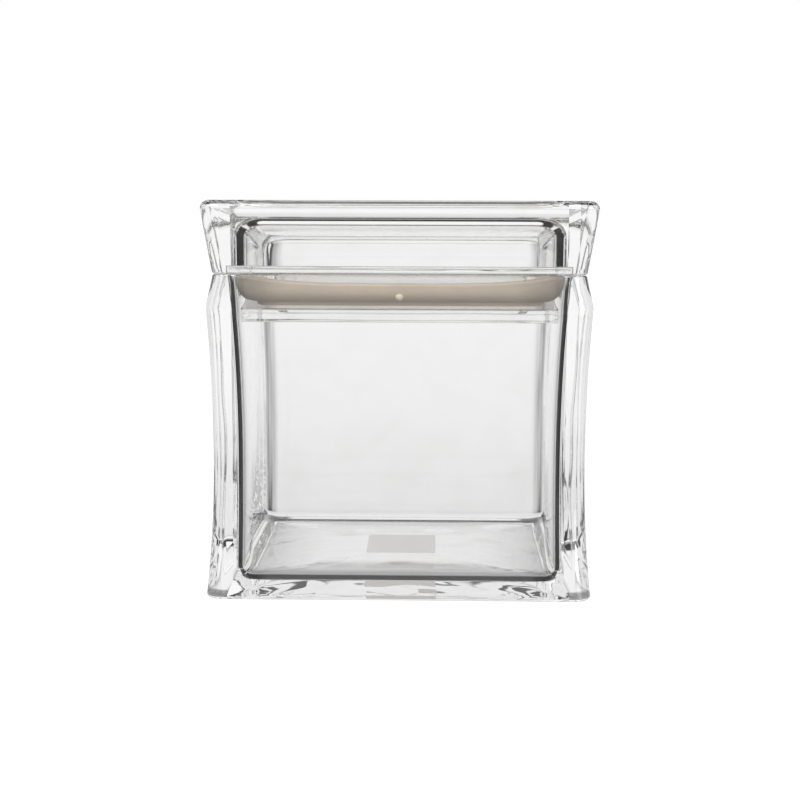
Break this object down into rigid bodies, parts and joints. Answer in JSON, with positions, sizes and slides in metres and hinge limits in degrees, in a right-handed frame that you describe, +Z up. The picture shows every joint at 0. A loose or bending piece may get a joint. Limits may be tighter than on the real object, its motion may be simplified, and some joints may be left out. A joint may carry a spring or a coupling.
{
  "type": "square canister with sealed lid",
  "caption": "Clear thick-walled square canister with a waisted jar and a hollow lift-off lid that carries a soft lip seal in a groove.",
  "frame": {"origin": "on the table, under the middle of the jar", "axes": "+Z up, the way the lid lifts; the seal's pip faces -Y, the pictured side"},
  "size_m": [0.12, 0.12, 0.1217],
  "materials": {
    "clear_plastic": "polished clear",
    "taupe_silicone": "satin",
    "label_paper": "matte"
  },
  "bodies": {
    "jar": {"jar_body": "clear_plastic", "base_label": "label_paper"},
    "lid": {"lid_cover": "clear_plastic", "flange_plate": "clear_plastic", "retainer": "clear_plastic", "gasket": "taupe_silicone"}
  },
  "joints": [
    {"name": "lid_lift", "type": "slide", "parent": "jar", "child": "lid", "axis": [0, 0, 1], "range_m": [0, 0.12]}
  ]
}
